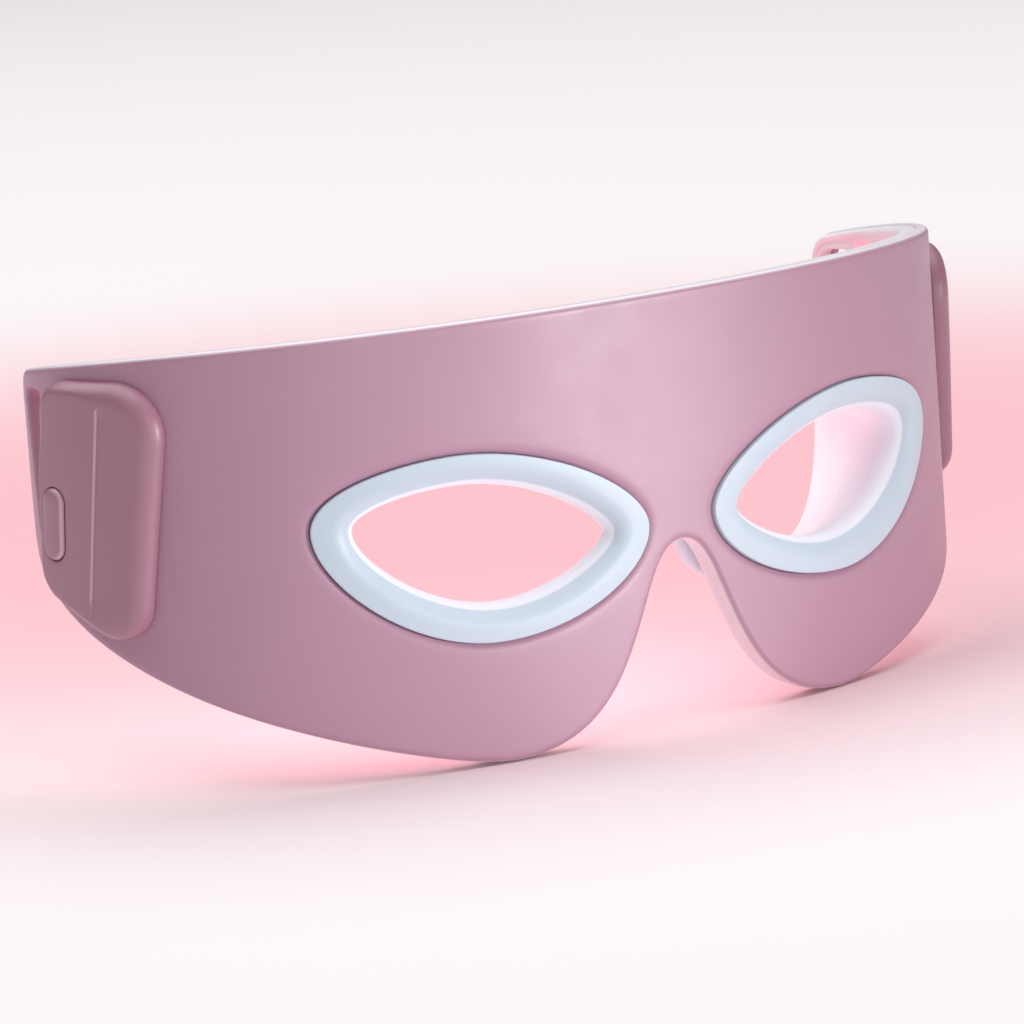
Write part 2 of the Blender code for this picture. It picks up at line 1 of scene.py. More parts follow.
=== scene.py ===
"""Looks for the light eye mask: soft shell, liner, eye shields, side pods and what shows of the inside.

The band is drawn flat, as a pattern of s (mm along the plan curve from the nose, wearer's left
positive), z (mm above the eye line) and d (mm inward from the outer face), then wrapped onto it.
"""

import json
import math

import bmesh
import bpy
import numpy as np
from mathutils import Matrix, Vector, geometry


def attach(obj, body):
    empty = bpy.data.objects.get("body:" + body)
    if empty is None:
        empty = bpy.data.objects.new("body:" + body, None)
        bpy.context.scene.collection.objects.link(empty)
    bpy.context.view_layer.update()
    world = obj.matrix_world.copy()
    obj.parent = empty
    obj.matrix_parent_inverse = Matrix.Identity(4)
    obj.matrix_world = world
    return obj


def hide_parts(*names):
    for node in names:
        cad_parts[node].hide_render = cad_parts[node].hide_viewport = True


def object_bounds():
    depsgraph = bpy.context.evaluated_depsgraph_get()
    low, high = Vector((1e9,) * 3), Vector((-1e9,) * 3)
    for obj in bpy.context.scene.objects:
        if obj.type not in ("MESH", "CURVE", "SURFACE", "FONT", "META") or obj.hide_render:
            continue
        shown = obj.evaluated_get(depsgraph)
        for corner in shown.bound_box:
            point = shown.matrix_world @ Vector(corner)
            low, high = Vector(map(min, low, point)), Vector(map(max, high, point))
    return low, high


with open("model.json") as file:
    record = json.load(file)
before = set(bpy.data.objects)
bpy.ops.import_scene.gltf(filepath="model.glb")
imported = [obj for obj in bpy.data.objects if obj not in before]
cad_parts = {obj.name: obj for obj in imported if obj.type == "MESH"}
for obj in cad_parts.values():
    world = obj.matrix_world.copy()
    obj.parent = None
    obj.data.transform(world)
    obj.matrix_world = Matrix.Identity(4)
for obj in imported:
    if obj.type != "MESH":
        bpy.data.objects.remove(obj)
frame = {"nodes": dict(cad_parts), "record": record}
CAD_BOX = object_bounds()
MM = 0.001

# Plan curve and depths, as in the CAD
CURVE_NOSE = 0.0045
CURVE_SLOPE = 2.7e-5
CURVE_GROWTH = 2.6e-6
SHELL_BACK = 2.0
LINER_FRONT = 2.05
LINER_BACK = 5.0
LINER_INSET = 0.3

# The band's outline and the strap slots
TOP = 34.0
TOP_DROP = 2.7
NOTCH_TOP = -4.2
LOBE_BOTTOM = (32.4, -33.0)
ARM_END = 116.2
SLOT_S = 109.5
SLOT_CORNERS = ((-2.9, 26.9), (3.2, 26.9), (1.2, 4.7), (-3.0, 4.7))
SLOT_RADIUS = 1.4

# An eye shield's outlines, outer and inner, at the front and at the rear. Each has four corners, at the
# nose, the top, the temple and the bottom, with the lengths of a corner's two handles.
EYE_OUTER = (
    ((6.4, -0.9), 6.3, 5.9),
    ((39.1, 14.2), 15.8, 9.2),
    ((61.8, 4.9), 6.4, 7.3),
    ((33.2, -14.6), 14.7, 14.6),
)
EYE_INNER = (
    ((13.4, -1.2), 1.6, 1.9),
    ((38.3, 8.9), 13.2, 8.6),
    ((54.6, 4.4), 2.2, 4.0),
    ((32.0, -8.6), 11.4, 9.6),
)
REAR_INNER = (
    ((9.6, -1.0), 5.0, 5.0),
    ((35.8, 11.1), 13.0, 10.0),
    ((53.9, 4.7), 4.0, 6.0),
    ((31.4, -11.2), 12.0, 11.0),
)
REAR_OUTER = (
    ((2.6, -1.5), 10.0, 7.0),
    ((38.0, 15.5), 19.0, 12.0),
    ((59.0, 4.5), 7.0, 7.5),
    ((32.0, -15.6), 15.0, 22.0),
)
REAR_START = 1.6
REAR_CURVE = 0.0088
SHIELD_PROUD = 0.3

# Pods, each corner with its radius, and the button and the groove on them
POD_CORNERS = (
    ((80.8, 29.1), 8.0),
    ((102.8, 29.2), 4.5),
    ((105.3, -2.3), 6.0),
    ((87.3, -13.0), 5.5),
)
POD_HEIGHT = 3.2
POD_HOLE_INSET = 2.0
POD_BEVEL, POD_BEVEL_DEEP = 3.1, 2.7
BUTTON_CENTRE = (100.8, 7.8)
BUTTON_SIZE = (4.2, 11.0)
BUTTON_PROUD = 0.6
BUTTON_LEAN = math.radians(5.0)
BUTTON_GAP = 0.08
GROOVE_TOP, GROOVE_LOW = (91.0, 27.9), (95.5, -8.1)
GROOVE_DEEP = 0.35
GROOVE_SLOPE = 2.4
GROOVE_WALL = 0.25
GROOVE_ROWS = (-2.4, -1.7, -1.1, -0.6, -0.2, 0.0, 0.12, 0.25, 0.4, 0.8)
GROOVE_MIDDLE = -0.8

# The ring of LEDs round an eye, which runs between two shares of its length
LEDS_PER_EYE = 10
LED_RING = 5.0
FIRST_LED, LAST_LED = 0.115, 0.815

# Over what distance the liner's painted glow fades at a white edge, and how far the painted halo round an
# LED reaches
GLOW_FADE, HALO_REACH = 1.8, 4.5


# The plan curve


def heading(s):
    """The plan curve's direction at s, in radians."""
    size = np.abs(s)
    turn = CURVE_NOSE * size + CURVE_SLOPE * size**2 / 2 + CURVE_GROWTH * size**3 / 3
    return np.copysign(turn, s)


CURVE_S = np.arange(0.0, 130.25, 0.25)


def running_sum(values):
    """Integral of a quantity along the plan curve, from the nose to each point of CURVE_S."""
    steps = (values[1:] + values[:-1]) / 2 * np.diff(CURVE_S)
    return np.concatenate([[0.0], np.cumsum(steps)])


CURVE_X = running_sum(np.cos(heading(CURVE_S)))
CURVE_Y = running_sum(np.sin(heading(CURVE_S))) - LINER_BACK


def wrap(points):
    """Pattern points (s, z, d) as an array of points in mm round the head."""
    s, z, d = np.asarray(points, float).T
    x = np.copysign(np.interp(np.abs(s), CURVE_S, CURVE_X), s)
    y = np.interp(np.abs(s), CURVE_S, CURVE_Y)
    turn = heading(s)
    return np.column_stack([x - d * np.sin(turn), y + d * np.cos(turn), z])


def smooth(share):
    share = np.clip(share, 0.0, 1.0)
    return share * share * (3 - 2 * share)


# Outlines, as arrays of points in the pattern


def bezier(start, first, second, end, steps=60):
    t = np.arange(steps)[:, None] / steps
    a, b, c, d = (np.array(p, float) for p in (start, first, second, end))
    return (1 - t) ** 3 * a + 3 * (1 - t) ** 2 * t * b + 3 * (1 - t) * t**2 * c + t**3 * d


def almond(corners, steps=60):
    """Four corners, each a point with the lengths of its two handles."""
    nose, nose_down, nose_up = corners[0]
    top, top_in, top_out = corners[1]
    outer, outer_up, outer_down = corners[2]
    low, low_out, low_in = corners[3]
    return np.vstack(
        [
            bezier(nose, (nose[0], nose[1] + nose_up), (top[0] - top_in, top[1]), top, steps),
            bezier(top, (top[0] + top_out, top[1]), (outer[0], outer[1] + outer_up), outer, steps),
            bezier(outer, (outer[0], outer[1] - outer_down), (low[0] + low_out, low[1]), low, steps),
            bezier(low, (low[0] - low_in, low[1]), (nose[0], nose[1] - nose_down), nose, steps),
        ]
    )


def top_edge(s):
    return TOP - TOP_DROP * (s / 100) ** 4


def mask_outline():
    corner = (112.8, top_edge(112.8))
    top = np.linspace(corner[0], 0.0, 200)
    right = np.vstack(
        [
            bezier((0, NOTCH_TOP), (4.2, NOTCH_TOP), (5.9, -9.6), (8.2, -14.6)),
            bezier((8.2, -14.6), (11.9, -22.5), (16.5, LOBE_BOTTOM[1]), LOBE_BOTTOM),
            bezier(LOBE_BOTTOM, (40.0, LOBE_BOTTOM[1]), (63.3, -26.2), (78.7, -19.6)),
            bezier((78.7, -19.6), (91.8, -14.0), (105.8, -6.0), (113.0, -0.4)),
            bezier((113.0, -0.4), (117.7, 3.2), (ARM_END, 13.3), (ARM_END, 23.7)),
            bezier((ARM_END, 23.7), (ARM_END, 27.2), (115.2, 29.0), corner),
            np.column_stack([top, top_edge(top)]),
        ]
    )
    left = right[1:-1][::-1] * [-1, 1]
    return np.vstack([right, left])


def rounded(corners, steps=24):
    """A polygon of corners (point, radius), each of them an arc."""
    count = len(corners)
    points = []
    for i, (corner, radius) in enumerate(corners):
        here = Vector(corner)
        to_last = (Vector(corners[i - 1][0]) - here).normalized()
        to_next = (Vector(corners[(i + 1) % count][0]) - here).normalized()
        half = to_last.angle(to_next) / 2
        centre = here + (to_last + to_next).normalized() * (radius / math.sin(half))
        start = here + to_last * (radius / math.tan(half)) - centre
        end = here + to_next * (radius / math.tan(half)) - centre
        sweep = start.angle_signed(end)
        for k in range(steps + 1):
            turn = -sweep * k / steps
            x = start.x * math.cos(turn) - start.y * math.sin(turn)
            y = start.x * math.sin(turn) + start.y * math.cos(turn)
            points.append((centre.x + x, centre.y + y))
    return np.array(points)


def pill(width, height, centre, lean, steps=24):
    """An upright outline with half-round ends, turned by its lean."""
    radius = width / 2
    points = []
    for start, sign in ((0.0, 1.0), (math.pi, -1.0)):
        for k in range(steps + 1):
            turn = start + math.pi * k / steps
            x = radius * math.cos(turn)
            y = radius * math.sin(turn) + sign * (height / 2 - radius)
            u = x * math.cos(lean) - y * math.sin(lean)
            v = x * math.sin(lean) + y * math.cos(lean)
            points.append((centre[0] + u, centre[1] + v))
    return np.array(points)


def measured(points, density=None):
    """An outline closed on itself, and the length along it up to each point, weighted by density(point)."""
    closed = np.vstack([points, points[:1]])
    steps = np.hypot(*np.diff(closed, axis=0).T)
    if density:
        steps = steps * density((closed[1:] + closed[:-1]) / 2)
    return closed, np.concatenate([[0.0], np.cumsum(steps)])


def points_at(at, closed, length):
    return np.column_stack([np.interp(at, length, closed[:, k]) for k in (0, 1)])


def resampled(points, spacing, density=None):
    """A closed outline with evenly spaced points, or more of them where density(point) is high."""
    closed, length = measured(points, density)
    count = max(12, int(round(length[-1] / spacing)))
    return points_at(np.linspace(0.0, length[-1], count, endpoint=False), closed, length)


def signed_area(points):
    x, y = points.T
    return float(np.sum(x * np.roll(y, -1) - y * np.roll(x, -1))) / 2


def outward(points):
    """Unit normals of a closed outline, away from its inside."""
    along = np.roll(points, -1, 0) - np.roll(points, 1, 0)
    along /= np.hypot(*along.T)[:, None]
    return np.column_stack([along[:, 1], -along[:, 0]]) * math.copysign(1.0, signed_area(points))


def inside(points, outline):
    """Which of the points lie inside a closed outline."""
    x, y = np.asarray(points).T
    found = np.zeros(len(x), bool)
    for (x0, y0), (x1, y1) in zip(outline, np.roll(outline, -1, 0)):
        if y0 != y1:
            crosses = (y0 > y) != (y1 > y)
            found ^= crosses & (x < (x1 - x0) * (y - y0) / (y1 - y0) + x0)
    return found


def nearest(points, others):
    """Distance from each point to the nearest of some others."""
    result = np.full(len(points), 1e9)
    for start in range(0, len(others), 200):
        part = others[start : start + 200]
        gap = np.hypot(points[:, None, 0] - part[None, :, 0], points[:, None, 1] - part[None, :, 1])
        result = np.minimum(result, gap.min(axis=1))
    return result


# Meshes


def fill(rings, grid):
    """Triangles over the inside of the first ring, without the others, through the grid's points."""
    # The triangulation works in single precision, so the test of what is inside uses the same points.
    points = np.vstack([*rings, grid]).astype(np.float32).astype(float)
    edges, loops = [], []
    first = 0
    for ring in rings:
        count = len(ring)
        edges += [(first + i, first + (i + 1) % count) for i in range(count)]
        loops.append(points[first : first + count])
        first += count
    coords = [Vector(point) for point in points.tolist()]
    _, _, faces, origins, _, _ = geometry.delaunay_2d_cdt(coords, edges, [], 0, 1e-9)
    index = [origin[0] if origin else -1 for origin in origins]
    triangles = np.array([[index[k] for k in face] for face in faces])
    middles = points[triangles].mean(axis=1)
    keep = inside(middles, loops[0])
    for loop in loops[1:]:
        keep &= ~inside(middles, loop)
    return triangles[keep]


def grid_points(rings, step_s, step_z, gap):
    """A grid inside the first ring and outside the others, with a gap to them all."""
    low, high = rings[0].min(axis=0), rings[0].max(axis=0)
    s = np.arange(math.ceil(low[0] / step_s) * step_s, high[0], step_s)
    z = np.arange(math.ceil(low[1] / step_z) * step_z, high[1], step_z)
    grid = np.array([(a, b) for a in s for b in z])
    keep = inside(grid, rings[0])
    for ring in rings[1:]:
        keep &= ~inside(grid, ring)
    grid = grid[keep]
    return grid[nearest(grid, np.vstack(rings)) > gap]


class Boundary:
    """An edge of a plate: its outline in the pattern, whether it is a hole, and its edge profile.

    The profile is a list of (inset, depth) from the front face round the edge to the back face, where an
    inset may be a function of the points. place(points, depth) moves the points of a ring.
    """

    def __init__(self, outline, profile, hole=False, place=None):
        self.outline = outline
        self.profile = profile
        self.normals = outward(outline) * (-1.0 if hole else 1.0)
        self.place = place

    def ring(self, k):
        inset, depth = self.profile[k]
        points = self.outline - self.normals * (inset(self.outline) if callable(inset) else inset)
        if self.place:
            points = self.place(points, depth)
        return points, depth


def plate(boundaries, grid=(1.5, 3.0), front_points=None):
    """Pattern vertices and faces of a closed plate with rounded edges.

    The first boundary is the outer one. front_points(loops) gives the points to fill the front with, in
    place of a plain grid.
    """
    verts, faces, rings = [], [], []
    total = 0
    for boundary in boundaries:
        indexes = []
        for k in range(len(boundary.profile)):
            points, depth = boundary.ring(k)
            indexes.append(np.arange(len(points)) + total)
            verts.append(np.column_stack([points, np.full(len(points), depth)]))
            total += len(points)
        for near, far in zip(indexes, indexes[1:]):
            after_near, after_far = np.roll(near, -1), np.roll(far, -1)
            faces += list(zip(near, after_near, after_far, far))
        rings.append(indexes)
    flat = np.vstack(verts)
    for end in (0, -1):
        loops = [flat[indexes[end]][:, :2] for indexes in rings]
        depth = flat[rings[0][end][0], 2]
        if end == 0 and front_points:
            extra = front_points(loops)
        else:
            extra = grid_points(loops, *grid, gap=0.6 * min(grid))
        known = np.concatenate([indexes[end] for indexes in rings] + [np.arange(len(extra)) + total])
        verts.append(np.column_stack([extra, np.full(len(extra), depth)]))
        total += len(extra)
        faces += [tuple(int(known[k]) for k in triangle) for triangle in fill(loops, extra)]
    return np.vstack(verts), faces


def mesh_object(name, points_mm, faces, look, attributes):
    """A smooth-shaded object from points in mm, facing outward, with float vertex attributes."""
    bm = bmesh.new()
    layers = {key: bm.verts.layers.float.new(key) for key in attributes}
    made = [bm.verts.new(p) for p in np.asarray(points_mm) * MM]
    for key, layer in layers.items():
        for vert, value in zip(made, attributes[key]):
            vert[layer] = float(value)
    for face in faces:
        corners = [made[k] for k in dict.fromkeys(face)]
        if len(corners) > 2 and not bm.faces.get(corners):
            bm.faces.new(corners)
    bmesh.ops.remove_doubles(bm, verts=bm.verts, dist=1e-6)
    bm.normal_update()
    bmesh.ops.recalc_face_normals(bm, faces=bm.faces)
    if bm.calc_volume(signed=True) < 0:
        bmesh.ops.reverse_faces(bm, faces=bm.faces)
    mesh = bpy.data.meshes.new(name)
    bm.to_mesh(mesh)
    bm.free()
    mesh.shade_smooth()
    obj = bpy.data.objects.new(name, mesh)
    bpy.context.scene.collection.objects.link(obj)
    obj.data.materials.append(look)
    return obj


# Materials


def shader_tree(name):
    made = bpy.data.materials.new(name)
    made.use_nodes = True
    tree = made.node_tree
    return made, tree, tree.nodes["Principled BSDF"]


def node(tree, kind, inputs=None, **settings):
    """A new node, with a value or a socket to link for each of the named inputs."""
    made = tree.nodes.new(kind)
    for key, value in settings.items():
        setattr(made, key, value)
    for key, value in (inputs or {}).items():
        if isinstance(value, bpy.types.NodeSocket):
            tree.links.new(value, made.inputs[key])
        else:
            made.inputs[key].default_value = value
    return made


def noise(tree, scale, detail=3.0, roughness=0.5):
    place = node(tree, "ShaderNodeTexCoord")
    return node(
        tree,
        "ShaderNodeTexNoise",
        {"Vector": place.outputs["Object"], "Scale": scale, "Detail": detail, "Roughness": roughness},
    ).outputs["Fac"]


def mapped(tree, value, low, high, from_low=0.3, from_high=0.7):
    return node(
        tree,
        "ShaderNodeMapRange",
        {"Value": value, "From Min": from_low, "From Max": from_high, "To Min": low, "To Max": high},
    ).outputs["Result"]


def mixed(tree, factor, first, second):
    # A Mix node's inputs 0, 6 and 7 are its factor and its two colours, and its output 2 is the colour.
    made = node(tree, "ShaderNodeMix", data_type="RGBA")
    for key, value in ((0, factor), (6, first), (7, second)):
        if isinstance(value, bpy.types.NodeSocket):
            tree.links.new(value, made.inputs[key])
        else:
            made.inputs[key].default_value = value if key == 0 else (*value, 1.0)
    return made.outputs[2]


def bumped(tree, shader, height, distance):
    made = node(tree, "ShaderNodeBump", {"Height": height, "Distance": distance * MM, "Strength": 1.0})
    tree.links.new(made.outputs["Normal"], shader.inputs["Normal"])


def moulded(name, colour, shade, roughness=(0.4, 0.5), grain=0.012, coat=0.0, gloss=0.5):
    """Moulded silicone or plastic: a fine grain, a slow drift of tone and an uneven gloss."""
    made, tree, shader = shader_tree(name)
    drift = mapped(tree, noise(tree, 28.0, 2.0), 0.0, 1.0)
    tree.links.new(mixed(tree, drift, colour, shade), shader.inputs["Base Color"])
    patch = noise(tree, 160.0, 4.0)
    tree.links.new(mapped(tree, patch, *roughness), shader.inputs["Roughness"])
    bumped(tree, shader, noise(tree, 2600.0, 4.0, 0.6), grain)
    shader.inputs["Coat Weight"].default_value = coat
    shader.inputs["Coat Roughness"].default_value = 0.42
    shader.inputs["Specular IOR Level"].default_value = gloss
    return made


def srgb(red, green, blue):
    """A colour from sRGB values above 10 and up to 255."""
    return tuple(((c / 255 + 0.055) / 1.055) ** 2.4 for c in (red, green, blue))


def paler_at(look, attribute, colour):
    """Turns a look's colour into another one where a vertex attribute is 1."""
    tree = look.node_tree
    socket = tree.nodes["Principled BSDF"].inputs["Base Color"]
    base = socket.links[0].from_socket
    share = node(tree, "ShaderNodeAttribute", attribute_name=attribute).outputs["Fac"]
    tree.links.new(mixed(tree, share, base, colour), socket)


SHELL_MAUVE, SHELL_SHADE = (0.455, 0.240, 0.338), (0.438, 0.230, 0.324)
POD_MAUVE, POD_SHADE = (0.375, 0.168, 0.238), (0.360, 0.161, 0.228)
# Two pale colours that paint highlights: one on the shell's edge wall, partly also the white liner's edge,
# one on the pods' groove wall and the button's rim.
RIM_WHITE_AND_HIGHLIGHT, HIGHLIGHT_MAUVE = (0.86, 0.80, 0.86), (0.66, 0.42, 0.52)
SHELL = moulded("mauve_silicone", SHELL_MAUVE, SHELL_SHADE, (0.38, 0.46), coat=0.3, gloss=0.7)
POD = moulded("mauve_soft_plastic", POD_MAUVE, POD_SHADE, (0.36, 0.44), 0.008, 0.4, 0.7)
BUTTON = moulded("mauve_button", POD_MAUVE, POD_SHADE, (0.34, 0.42), 0.006, 0.4, 0.7)
# The shell's pale edge wall: partly the white liner's edge, partly a painted highlight along the top.
paler_at(SHELL, "rim", RIM_WHITE_AND_HIGHLIGHT)
# The paler mauve is a painted highlight, on the pods' groove wall and on the button's rim.
for look in (POD, BUTTON):
    paler_at(look, "edge", HIGHLIGHT_MAUVE)


def glowing(name, cool, painted_lit_colour, glow, strength):
    """Silicone that turns from a cool white to a lit pink with the vertex attribute "glow": painted LED
    light, a lit colour and an emission in silicone that is no lamp.
    """
    made, tree, shader = shader_tree(name)
    share = node(tree, "ShaderNodeAttribute", attribute_name="glow").outputs["Fac"]
    drift = mapped(tree, noise(tree, 40.0, 2.0), 0.96, 1.0)
    cool_drift = mixed(tree, drift, tuple(c * 0.94 for c in cool), cool)
    tree.links.new(mixed(tree, share, cool_drift, painted_lit_colour), shader.inputs["Base Color"])
    tree.links.new(mapped(tree, noise(tree, 150.0, 3.0), 0.38, 0.48), shader.inputs["Roughness"])
    bumped(tree, shader, noise(tree, 2400.0, 3.0, 0.6), 0.008)
    lit = mixed(tree, share, (0.0, 0.0, 0.0), glow)
    tree.links.new(lit, shader.inputs["Emission Color"])
    shader.inputs["Emission Strength"].default_value = strength
    shader.inputs["Subsurface Weight"].default_value = 0.3
    shader.inputs["Subsurface Radius"].default_value = (1.0, 0.6, 0.55)
    shader.inputs["Subsurface Scale"].default_value = 2.5 * MM
    return made


# In each row the first colour is the silicone's own; the other two paint the LEDs' light on it, a lit
# colour and a glow.
COOL_WHITE, SHIELD_PAINTED_LIT_WHITE, WHITE_LIGHT = (0.565, 0.655, 0.745), (0.93, 0.90, 0.96), (0.94, 0.92, 0.95)
LINER_WHITE, LINER_PAINTED_LIT_PINK, PINK_LIGHT = (0.88, 0.84, 0.90), (0.95, 0.40, 0.48), (1.0, 0.22, 0.30)
SHIELD = glowing("white_silicone", COOL_WHITE, SHIELD_PAINTED_LIT_WHITE, WHITE_LIGHT, 0.21)
LINER = glowing("lit_silicone", LINER_WHITE, LINER_PAINTED_LIT_PINK, PINK_LIGHT, 0.75)


def electronics():
    """Finishes of the sealed pieces, by CAD material slot."""
    board, tree, shader = shader_tree("green_solder_mask")
    tracks = node(
        tree,
        "ShaderNodeTexBrick",
        {
            "Vector": node(tree, "ShaderNodeTexCoord").outputs["Object"],
            "Scale": 900.0,
            "Color1": (*srgb(16, 84, 46), 1.0),
            "Color2": (*srgb(14, 74, 42), 1.0),
            "Mortar": (*srgb(30, 112, 62), 1.0),
            "Mortar Size": 0.03,
        },
    )
    tree.links.new(tracks.outputs["Color"], shader.inputs["Base Color"])
    shader.inputs["Roughness"].default_value = 0.35
    shader.inputs["Coat Weight"].default_value = 0.4

    flex, tree, shader = shader_tree("amber_flex_film")
    wave = node(
        tree,
        "ShaderNodeTexWave",
        {"Vector": node(tree, "ShaderNodeTexCoord").outputs["Object"], "Scale": 260.0, "Distortion": 0.6},
    )
    copper = mixed(tree, wave.outputs["Fac"], srgb(196, 118, 44), srgb(222, 150, 72))
    tree.links.new(copper, shader.inputs["Base Color"])
    shader.inputs["Roughness"].default_value = 0.3

    lens, tree, shader = shader_tree("led_lens")
    halo = mapped(tree, noise(tree, 900.0, 1.0), 0.0, 1.0)
    glow = mixed(tree, halo, srgb(255, 120, 120), srgb(255, 170, 160))
    tree.links.new(glow, shader.inputs["Emission Color"])
    shader.inputs["Base Color"].default_value = (*srgb(255, 190, 175), 1.0)
    shader.inputs["Emission Strength"].default_value = 2.0
    shader.inputs["Roughness"].default_value = 0.15

    black = moulded("black_epoxy", srgb(26, 26, 28), srgb(20, 20, 22), (0.45, 0.6), 0.01)
    white = moulded("white_plunger", srgb(232, 232, 230), srgb(222, 222, 220), (0.3, 0.4), 0.005)

    def metal(name, colour, rough, crinkle):
        made, tree, shader = shader_tree(name)
        streaks = noise(tree, 700.0, 4.0)
        light = mixed(tree, streaks, tuple(c * 0.8 for c in colour), colour)
        tree.links.new(light, shader.inputs["Base Color"])
        tree.links.new(mapped(tree, noise(tree, 300.0), rough, rough + 0.15), shader.inputs["Roughness"])
        shader.inputs["Metallic"].default_value = 1.0
        bumped(tree, shader, noise(tree, 500.0, 2.0), crinkle)
        return made

    steel = metal("bright_steel", srgb(204, 204, 208), 0.22, 0.004)
    foil = metal("cell_foil", srgb(200, 202, 206), 0.3, 0.06)
    weight = metal("rotor_weight", srgb(150, 140, 128), 0.4, 0.01)
    return {
        "circuit_board": board,
        "flex_circuit": flex,
        "led_package": lens,
        "black_epoxy": black,
        "black_plastic": black,
        "white_plastic": white,
        "connector_steel": steel,
        "motor_steel": steel,
        "cell_pouch": foil,
        "rotor_metal": weight,
    }


# The shell


def slot_place(side):
    """How a strap slot, cut straight through the arm, shifts along the pattern with depth."""
    origin = wrap([(side * SLOT_S, 0.0, 0.0)])[0]
    turn = float(heading(side * SLOT_S))
    along_arm = side * np.array([math.cos(turn), math.sin(turn), 0.0])
    s = np.linspace(SLOT_S - 12, SLOT_S + 9, 400)

    def place(points, depth):
        flat = np.column_stack([side * s, np.zeros(len(s)), np.full(len(s), depth)])
        u = (wrap(flat) - origin) @ along_arm
        return np.column_stack([side * np.interp(points[:, 0], u, s), points[:, 1]])

    return place


def slot_outline(grow=0.0):
    outline = resampled(rounded([(corner, SLOT_RADIUS) for corner in SLOT_CORNERS]), 0.5)
    return outline + outward(outline) * grow


def quarter_turn(steps):
    return [math.pi / 2 * k / steps for k in range(steps + 1)]


def rounded_edge(front, back, radius_front, radius_back, steps=5, flat=0.6):
    """An edge profile: (inset, depth) over a rounded front edge, down the wall and round to the back."""
    turns = quarter_turn(steps)
    start = [(radius_front + flat, front)]
    over = [(radius_front * (1 - math.sin(t)), front + radius_front * (1 - math.cos(t))) for t in turns]
    under = [(radius_back * (1 - math.cos(t)), back - radius_back * (1 - math.sin(t))) for t in turns]
    return start + over + under + [(radius_back + flat, back)]


# The shell's edge round an eye shield: a wide soft rounding, then the wall and the back, as (inset, depth)
EYE_EDGE = (
    (2.0, 0.0),
    (1.5, 0.02),
    (1.05, 0.07),
    (0.7, 0.16),
    (0.4, 0.3),
    (0.18, 0.48),
    (0.04, 0.7),
    (0.0, 1.0),
    (0.0, SHELL_BACK),
    (0.6, SHELL_BACK),
)


def mirrored(points, side):
    return points * [side, 1]


def outer_shell():
    outline = resampled(mask_outline(), 1.0)
    edges = [Boundary(outline, rounded_edge(0.0, SHELL_BACK, 0.9, 0.35))]
    for side in (1, -1):
        window = resampled(almond(EYE_OUTER), 0.8)
        window = window + outward(window) * 0.05
        edges.append(Boundary(mirrored(window, side), EYE_EDGE, hole=True))
        pod = resampled(rounded(POD_CORNERS), 1.0)
        pod = pod - outward(pod) * POD_HOLE_INSET
        edges.append(Boundary(mirrored(pod, side), rounded_edge(0.0, SHELL_BACK, 0.2, 0.2, 2), hole=True))
        slot_edge = rounded_edge(0.0, SHELL_BACK, 0.7, 0.15)
        edges.append(Boundary(slot_outline(), slot_edge, hole=True, place=slot_place(side)))
    flat, faces = plate(edges)
    # The wall of the outer edge is pale: partly the white liner's edge, partly a painted highlight, from a
    # depth that is less along the top where it catches the light.
    at_edge = nearest(flat[:, :2], outline) < 1.6
    start = np.where(flat[:, 1] > TOP - 8.0, 0.1, 0.3)
    rim = np.where(at_edge, np.clip((flat[:, 2] - start) / 0.3, 0, 1), 0.0)
    return mesh_object("shell_skin", wrap(flat), faces, SHELL, {"rim": rim})


def led_places():
    """Pattern points of the LEDs round the wearer's left eye."""
    ring = almond(EYE_OUTER, 24)
    closed, length = measured(ring + outward(ring) * LED_RING)
    return points_at(np.linspace(FIRST_LED, LAST_LED, LEDS_PER_EYE) * length[-1], closed, length)


def inner_liner():
    outline = resampled(mask_outline(), 1.0)
    outline = outline - outward(outline) * LINER_INSET
    rim = rounded_edge(LINER_FRONT, LINER_BACK, 0.25, 1.2, 6, 0.3)
    rim = rim[:-1] + [(1.9, LINER_BACK), (2.8, LINER_BACK - 0.05), (3.4, LINER_BACK - 0.3)]

    def narrow(width):
        return lambda points: width * (1 - 0.65 * smooth((np.abs(points[:, :1]) - 96.0) / 8.0))

    edges = [Boundary(outline, [(narrow(width), depth) for width, depth in rim])]
    for side in (1, -1):
        window = resampled(almond(EYE_INNER), 1.0)
        window = window + outward(window) * 3.4
        edge = rounded_edge(LINER_FRONT, LINER_BACK, 0.2, 0.8)
        edge = edge[:-1] + [(1.2, LINER_BACK), (1.9, LINER_BACK - 0.1), (2.3, LINER_BACK - 0.3)]
        edges.append(Boundary(mirrored(window, side), edge, hole=True))
        edge = rounded_edge(LINER_FRONT, LINER_BACK, 0.15, 0.3, flat=0.2)
        edge = edge[:-1] + [(0.45, LINER_BACK), (0.6, LINER_BACK - 0.1), (0.75, LINER_BACK - 0.3)]
        edges.append(Boundary(slot_outline(0.25), edge, hole=True, place=slot_place(side)))
    flat, faces = plate(edges)
    # The inner face has a painted glow, the LEDs' light painted into its colour and emission, with a
    # painted halo at each LED. The glow fades at the outline and at the slots.
    outline_ring, *holes = [edge.ring(-1)[0] for edge in edges]
    behind = (flat[:, 2] > LINER_BACK - 0.4) & inside(flat[:, :2], outline_ring)
    for hole in holes:
        behind &= ~inside(flat[:, :2], hole)
    white_edges = np.vstack([resampled(ring, 0.4) for ring in (outline_ring, holes[1], holes[3])])
    glow = 0.85 * smooth((nearest(flat[:, :2], white_edges) - 0.1) / GLOW_FADE)
    lamps = np.vstack([mirrored(led_places(), side) for side in (1, -1)])
    halo = 0.5 * np.exp(-((nearest(flat[:, :2], lamps) / HALO_REACH) ** 2))
    glow = np.clip(np.where(behind, glow + halo, 0.0), 0, 1)
    return mesh_object("liner_skin", wrap(flat), faces, LINER, {"glow": glow})


# Eye shields


def rear_y(x):
    """How far back a shield reaches, as its rear edge bends round the face."""
    return REAR_START + REAR_CURVE * x * x


SHIELD_STEPS = 40


